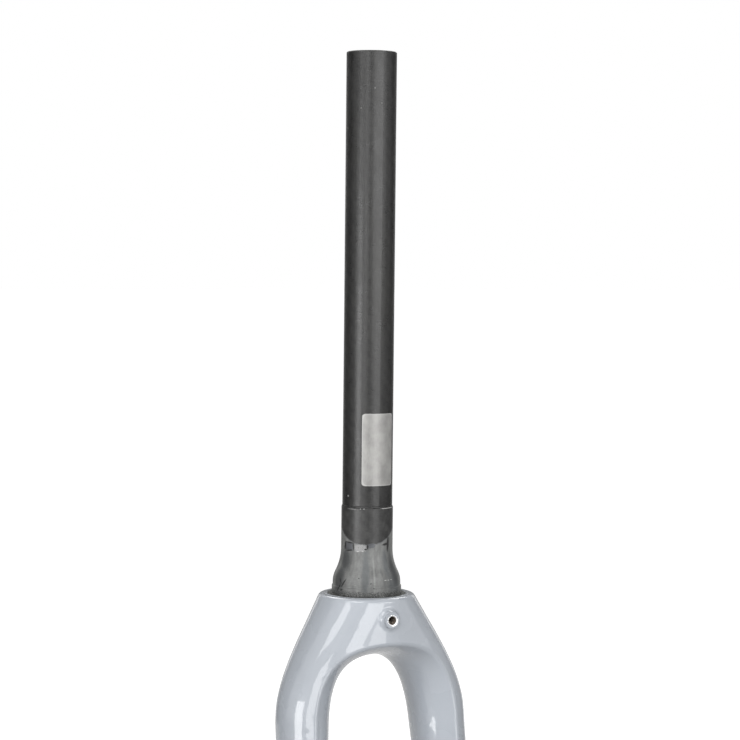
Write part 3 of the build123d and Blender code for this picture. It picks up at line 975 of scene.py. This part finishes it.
def spun_ring(corners, steps):
    """A closed ring spun round the steerer axis from the radius and height of each corner."""
    bm = bmesh.new()
    face = closed_section(bm, [(radius, 0, height) for radius, height in corners])
    outline = face.verts[:] + face.edges[:]
    bm.faces.remove(face)
    bmesh.ops.spin(
        bm,
        geom=outline,
        cent=(0, 0, 0),
        axis=(0, 0, 1),
        angle=2 * math.pi,
        steps=steps,
        use_merge=True,
    )
    bmesh.ops.remove_doubles(bm, verts=bm.verts[:], dist=1e-7)
    return bm


def spun_thread(mouth, axis, radius, depth, pitch, length):
    """A helical ridge on the wall of a hole: a small tooth that moves inward as it turns."""
    bm = bmesh.new()
    axis = Vector(axis).normalized()
    side = axis.orthogonal().normalized()
    start = Vector(mouth) + axis * pitch * THREAD_PLAIN_END
    root, crest = radius + THREAD_OVERLAP, radius - depth
    corners = [
        start + side * root - axis * pitch * THREAD_HALF_ROOT,
        start + side * crest - axis * pitch * THREAD_HALF_CREST,
        start + side * crest + axis * pitch * THREAD_HALF_CREST,
        start + side * root + axis * pitch * THREAD_HALF_ROOT,
    ]
    face = closed_section(bm, corners)
    turns = (length - pitch * (2 * THREAD_PLAIN_END)) / pitch
    steps = round(turns * THREAD_STEPS)
    bmesh.ops.spin(
        bm,
        geom=[face] + face.verts[:] + face.edges[:],
        cent=mouth,
        axis=axis,
        dvec=axis * (pitch * turns / steps),
        angle=2 * math.pi * turns,
        steps=steps,
    )
    open_edges = [edge for edge in bm.edges if edge.is_boundary]
    bmesh.ops.holes_fill(bm, edges=open_edges, sides=4)
    return bm


class FORK_OT_steerer(bpy.types.Operator):
    """Gives the steerer tube its raw carbon"""

    bl_idname = "fork.steerer"
    bl_label = "Steerer Tube"

    def execute(self, context):
        dress(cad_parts["steerer_tube"], steerer_material(context.scene.fork_carbon))
        return {"FINISHED"}


class FORK_OT_neck(bpy.types.Operator):
    """Gives the neck its dark collar and sanded flare, and adds the resin bead at its lip"""

    bl_idname = "fork.neck"
    bl_label = "Neck and Bond Line"

    def execute(self, context):
        look = context.scene.fork_carbon
        dress(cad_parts["fork_neck"], neck_material(look))
        lip, tube = NECK_HIGH.z, STEERER_HIGH.x
        bm = spun_ring(
            [
                (tube - 0.00005, lip - 0.00010),
                (tube + 0.00034, lip - 0.00012),
                (tube + 0.00030, lip + 0.00012),
                (tube + 0.00012, lip + 0.00050),
                (tube - 0.00005, lip + 0.00085),
            ],
            BEAD_STEPS,
        )
        for vertex in bm.verts:
            if vertex.co.z > lip + 0.00005:
                flat = Vector((vertex.co.x, vertex.co.y, 0))
                vertex.co.z += ripple(flat, BEAD_RIPPLE)
        new_piece("bond_bead", bm, resin_material(look))
        return {"FINISHED"}


class FORK_OT_moulding(bpy.types.Operator):
    """Paints the crown and legs, and adds the lip of paint round the bare shoulder"""

    bl_idname = "fork.moulding"
    bl_label = "Painted Moulding"

    def execute(self, context):
        paint, carbon = context.scene.fork_paint, context.scene.fork_carbon
        dress(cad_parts["fork_moulding"], moulding_material(paint, carbon))
        inner, film = paint.edge_radius, paint.film
        bm = spun_ring(
            [
                (inner, -0.00005),
                (inner + 0.00004, film * 0.7),
                (inner + 0.00030, film),
                (inner + 0.00085, film * 0.55),
                (inner + 0.00150, -0.00002),
            ],
            EDGE_STEPS,
        )
        for vertex in bm.verts:
            flat = Vector((vertex.co.x, vertex.co.y, 0))
            share = max(0.0, 1 - (flat.length - inner) / EDGE_REACH)
            vertex.co += flat.normalized() * ripple(flat, EDGE_RIPPLE) * share
        new_piece("paint_edge", bm, paint_edge_material(paint))
        return {"FINISHED"}


class FORK_OT_fittings(bpy.types.Operator):
    """Finishes the crown insert, the brake inserts and the axle ends"""

    bl_idname = "fork.fittings"
    bl_label = "Inserts and Axle Ends"

    def execute(self, context):
        paint, fitting = context.scene.fork_paint, context.scene.fork_fitting
        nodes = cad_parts
        dress(nodes["crown_insert"], crown_insert_material(paint, fitting))
        for name in BRAKE_INSERTS:
            low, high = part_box(name)
            plain_name = name.replace("_", " ")
            dress(nodes[name], brake_insert_material(plain_name, fitting, (low + high) / 2))
        ends = axle_end_material(paint, fitting)
        for name in ("left_axle_end", "right_axle_end"):
            dress(nodes[name], ends)
        return {"FINISHED"}


class FORK_OT_threads(bpy.types.Operator):
    """Cuts the threads of the inserts and the right axle end"""

    bl_idname = "fork.threads"
    bl_label = "Threads"

    def execute(self, context):
        fitting = context.scene.fork_fitting
        metal = thread_material(fitting)
        radius, ridge, pitch = INSERT_THREAD_RADIUS, INSERT_THREAD_RIDGE, fitting.insert_pitch
        length = INSERT_HIGH.x - INSERT_LOW.x
        bm = spun_thread(INSERT_MOUTH, (-1, 0, 0), radius, ridge, pitch, length)
        new_piece("crown_insert_thread", bm, metal)
        for name in BRAKE_INSERTS:
            low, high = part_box(name)
            mouth = (low + high) / 2 - FORWARD * (BRAKE_INSERT_LENGTH / 2)
            bm = spun_thread(mouth, FORWARD, radius, ridge, pitch, BRAKE_INSERT_LENGTH)
            new_piece(name + "_thread", bm, metal)
        mouth = Vector((AXLE.x, RIGHT_END_HIGH.y, AXLE.z))
        length = RIGHT_END_HIGH.y - RIGHT_END_LOW.y
        radius, ridge, pitch = AXLE_THREAD_RADIUS, AXLE_THREAD_RIDGE, fitting.axle_pitch
        bm = spun_thread(mouth, (0, -1, 0), radius, ridge, pitch, length)
        new_piece("axle_thread", bm, metal)
        return {"FINISHED"}


class FORK_OT_label(bpy.types.Operator):
    """Finishes the blank label"""

    bl_idname = "fork.label"
    bl_label = "Label"

    def execute(self, context):
        dress(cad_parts["steerer_label"], label_material(context.scene.fork_label))
        return {"FINISHED"}


def facing_fork(toward, distance):
    """A place some way off in a direction, turned to face the fork."""
    turned = toward.to_track_quat("Z", "Y").to_matrix().to_4x4()
    return Matrix.Translation(toward * distance) @ turned


def add_lamp(name, azimuth, elevation, distance, width, height, radiance, in_gloss):
    """A soft box aimed at the crown; the azimuth turns left of the fork's own front."""
    data = bpy.data.lights.new(name, "AREA")
    data.shape = "RECTANGLE"
    data.size = width
    data.size_y = height
    data.energy = radiance * math.pi * width * height
    lamp = bpy.data.objects.new(name, data)
    turn, tilt = math.radians(azimuth), math.radians(elevation)
    level = math.cos(tilt)
    toward = Vector((level * math.cos(turn), level * math.sin(turn), math.sin(tilt)))
    lamp.matrix_world = facing_fork(toward, distance)
    lamp.visible_camera = False
    lamp.visible_glossy = in_gloss
    bpy.context.scene.collection.objects.link(lamp)


def add_card(look, name, azimuth, distance, width, height):
    """A dark card beside the fork that shows only in its gloss, to draw its edges."""
    bm = bmesh.new()
    bmesh.ops.create_grid(bm, x_segments=1, y_segments=1, size=0.5)
    bmesh.ops.scale(bm, verts=bm.verts[:], vec=(width, height, 1))
    card = linked_object(name, bm)
    turn = math.radians(azimuth)
    card.matrix_world = facing_fork(Vector((math.cos(turn), math.sin(turn), CARD_RISE)), distance)
    card.visible_camera = card.visible_diffuse = card.visible_shadow = False
    dress(card, card_material(name.replace("_", " "), look))


def photo_camera_place():
    """The camera stands to the right of the fork's front and looks slightly down."""
    turn, pitch, roll = (math.radians(a) for a in (CAMERA_TURN, CAMERA_PITCH, CAMERA_ROLL))
    aside = Vector((math.sin(turn), math.cos(turn), 0))
    ahead = Vector((-math.cos(turn), math.sin(turn), 0))
    up = Vector((0, 0, 1))
    view = ahead * math.cos(pitch) - up * math.sin(pitch)
    top = ahead * math.sin(pitch) + up * math.cos(pitch)
    right = aside * math.cos(roll) + top * math.sin(roll)
    upright = top * math.cos(roll) - aside * math.sin(roll)
    turned = Matrix((right, upright, -view)).transposed().to_4x4()
    place = ahead * -CAMERA_AWAY + aside * CAMERA_ASIDE + up * CAMERA_UP
    return Matrix.Translation(place) @ turned


class FORK_OT_stage(bpy.types.Operator):
    """Sets up the floor, the soft light and the camera"""

    bl_idname = "fork.stage"
    bl_label = "Stage"

    def execute(self, context):
        look = context.scene.fork_stage
        bm = bmesh.new()
        bmesh.ops.create_grid(bm, x_segments=8, y_segments=8, size=FLOOR_HALF_WIDTH)
        bmesh.ops.translate(bm, verts=bm.verts[:], vec=(0, 0, cad_box[0].z))
        floor = linked_object("floor", bm)
        dress(floor, floor_material(look))

        world = bpy.data.worlds.new("studio")
        world.use_nodes = True
        tree = world.node_tree
        rays = tree.nodes.new("ShaderNodeLightPath").outputs
        mirrored = largest(tree, rays["Is Glossy Ray"], rays["Is Transmission Ray"])
        seen = largest(tree, rays["Is Camera Ray"], mirrored)
        level = calc(tree, "MULTIPLY_ADD", seen, 1.0 - look.fill, look.fill)
        sky = tree.nodes["Background"]
        sky.inputs["Color"].default_value = WHITE
        join(tree, sky.inputs["Strength"], level)
        context.scene.world = world

        for lamp in LAMPS:
            add_lamp(*lamp)
        for card in CARDS:
            add_card(look, *card)

        data = bpy.data.cameras.new("photo_camera")
        data.sensor_width = 36
        data.lens = look.lens
        data.clip_end = 200
        camera = bpy.data.objects.new("photo_camera", data)
        camera.matrix_world = photo_camera_place()
        context.scene.collection.objects.link(camera)
        context.scene.camera = camera
        context.scene.view_settings.view_transform = "Standard"
        return {"FINISHED"}


class FORK_PT_panel(bpy.types.Panel):
    """Lists the pieces of the fork"""

    bl_idname = "FORK_PT_panel"
    bl_label = "Fork"
    bl_space_type = "VIEW_3D"
    bl_region_type = "UI"
    bl_category = "Fork"

    def draw(self, context):
        for operator in OPERATORS:
            self.layout.operator(operator.bl_idname)
        for name in LOOKS:
            box = self.layout.box()
            look = getattr(context.scene, name)
            for key in look.__annotations__:
                box.prop(look, key)


LOOKS = {
    "fork_carbon": RawCarbonLook,
    "fork_paint": PaintLook,
    "fork_fitting": FittingLook,
    "fork_label": LabelLook,
    "fork_stage": StageLook,
}
OPERATORS = (
    FORK_OT_steerer,
    FORK_OT_neck,
    FORK_OT_moulding,
    FORK_OT_fittings,
    FORK_OT_threads,
    FORK_OT_label,
    FORK_OT_stage,
)


def register():
    for kind in (*LOOKS.values(), *OPERATORS, FORK_PT_panel):
        bpy.utils.register_class(kind)
    for name, kind in LOOKS.items():
        setattr(bpy.types.Scene, name, bpy.props.PointerProperty(type=kind))


def unregister():
    for name in LOOKS:
        delattr(bpy.types.Scene, name)
    for kind in (FORK_PT_panel, *OPERATORS, *LOOKS.values()):
        bpy.utils.unregister_class(kind)


def main():
    register()
    bpy.ops.fork.steerer()
    bpy.ops.fork.neck()
    bpy.ops.fork.moulding()
    bpy.ops.fork.fittings()
    bpy.ops.fork.threads()
    bpy.ops.fork.label()
    bpy.ops.fork.stage()


if __name__ == "__main__":
    main()
